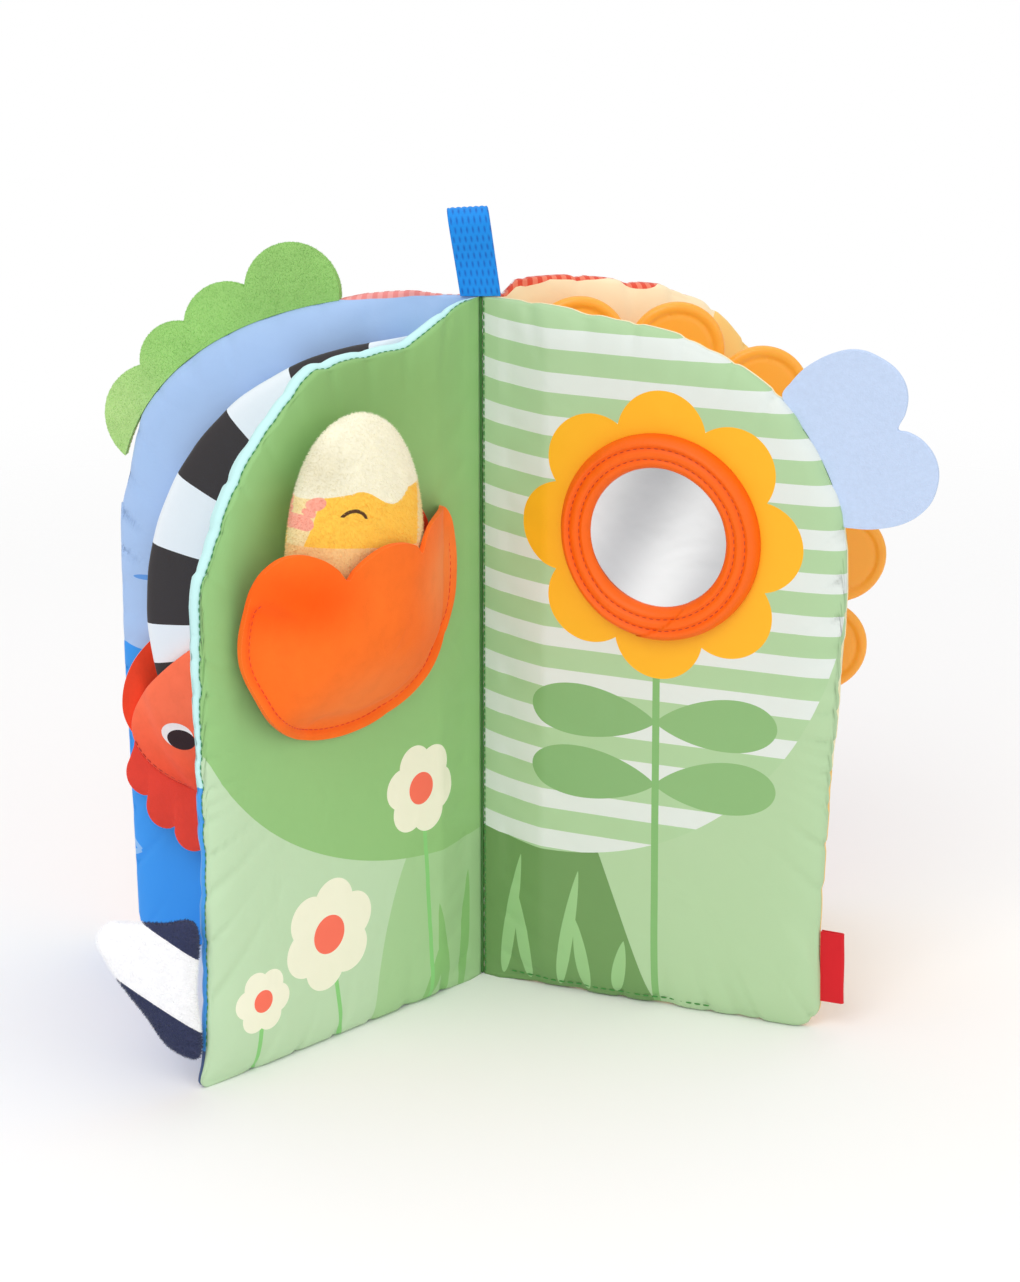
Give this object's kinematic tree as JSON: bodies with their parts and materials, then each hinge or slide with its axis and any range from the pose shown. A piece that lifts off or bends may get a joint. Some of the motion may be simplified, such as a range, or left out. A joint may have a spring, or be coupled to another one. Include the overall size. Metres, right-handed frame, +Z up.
{
  "type": "baby soft book",
  "caption": "Padded fabric book of arched leaves fanned round one spine, with a mirror, a pocket holding a stuffed chick, a toy on a striped track and a silicone teether.",
  "frame": {"origin": "foot of the spine on the floor", "axes": "+Z up along the spine, +Y to the back of the book as pictured, +X to the right"},
  "size_m": [0.2633, 0.1604, 0.2615],
  "materials": {
    "green_thread_tape": "matte",
    "blue_webbing": "woven, slight sheen",
    "meadow_print": "satin polyester",
    "cream_print": "satin polyester",
    "sea_print": "satin polyester",
    "peach_print": "satin polyester",
    "red_gingham": "satin polyester",
    "batting": "matte",
    "mirror_film": "mirror",
    "orange_vinyl": "soft satin",
    "blue_felt": "matte felt",
    "red_ribbon": "satin",
    "orange_velour": "velour",
    "coral_velour": "velour",
    "chick_plush": "plush",
    "navy_plush": "plush",
    "striped_knit": "ribbed knit",
    "green_plush": "plush",
    "orange_silicone": "gloss"
  },
  "bodies": {
    "mirror_leaf": {"spine_seam_tape": "green_thread_tape", "mirror_leaf_front_panel": "meadow_print", "mirror_leaf_back_panel": "cream_print", "mirror_leaf_batting": "batting", "mirror_disc": "mirror_film", "mirror_ring": "orange_vinyl"},
    "chick_leaf": {"chick_leaf_front_panel": "meadow_print", "chick_leaf_back_panel": "sea_print", "chick_leaf_batting": "batting", "flower_pocket": "orange_velour", "flower_back_petal": "coral_velour"},
    "sea_cover": {"sea_cover_inner_panel": "sea_print", "sea_cover_outer_panel": "red_gingham", "sea_cover_batting": "batting", "striped_track": "striped_knit", "bush_flap": "green_plush"},
    "sun_cover": {"sun_cover_inner_panel": "peach_print", "sun_cover_outer_panel": "red_gingham", "sun_cover_batting": "batting"},
    "teether": {"teether_ring": "orange_silicone"},
    "chick": {"chick": "chick_plush"},
    "slider": {"slider_front": "coral_velour", "slider_back": "coral_velour", "slider_skirt": "coral_velour"},
    "loop": {"webbing_loop": "blue_webbing"},
    "cloud": {"cloud_flap": "blue_felt"},
    "tail": {"plush_tail": "navy_plush"},
    "tag": {"side_tag": "red_ribbon"}
  },
  "joints": [
    {"name": "centre_fold", "type": "hinge", "parent": "mirror_leaf", "child": "chick_leaf", "pos_m": [0, 0, 0], "axis": [0, 0, 1], "range_deg": [-68, 62]},
    {"name": "sea_cover_fold", "type": "hinge", "parent": "chick_leaf", "child": "sea_cover", "pos_m": [0, 0, 0], "axis": [0, 0, 1], "range_deg": [-16, 21]},
    {"name": "sun_cover_fold", "type": "hinge", "parent": "mirror_leaf", "child": "sun_cover", "pos_m": [0, 0, 0], "axis": [0, 0, 1], "range_deg": [-17, 25]},
    {"name": "teether_fold", "type": "hinge", "parent": "mirror_leaf", "child": "teether", "pos_m": [0, 0, 0], "axis": [0, 0, 1], "range_deg": [-8.5, 12.5]},
    {"name": "chick_slide", "type": "slide", "parent": "chick_leaf", "child": "chick", "axis": [0, 0, 1], "range_m": [0, 0.05]},
    {"name": "slider_travel", "type": "hinge", "parent": "sea_cover", "child": "slider", "pos_m": [-0.01844, -0.00898, 0.124], "axis": [-0.2436, -0.9699, 0], "range_deg": [-75, 8]},
    {"name": "loop_fold", "type": "hinge", "parent": "mirror_leaf", "child": "loop", "pos_m": [-0.00017, 0, 0.2326], "axis": [0.9945, 0, 0.1045], "range_deg": [-60, 60]},
    {"name": "cloud_bend", "type": "hinge", "parent": "mirror_leaf", "child": "cloud", "pos_m": [0.10486, -0.04279, 0.18528], "axis": [0.4685, -0.1912, -0.8625], "range_deg": [-24, 24]},
    {"name": "tail_bend", "type": "hinge", "parent": "chick_leaf", "child": "tail", "pos_m": [-0.08605, -0.08848, 0.034], "axis": [0, 0, 1], "range_deg": [-18, 28]},
    {"name": "tag_bend", "type": "hinge", "parent": "mirror_leaf", "child": "tag", "pos_m": [0.11407, -0.04655, 0.022], "axis": [0, 0, 1], "range_deg": [-60, 60]}
  ],
  "couplings": [
    {"joint": "teether_fold", "follows": "sun_cover_fold", "ratio": 0.5}
  ]
}
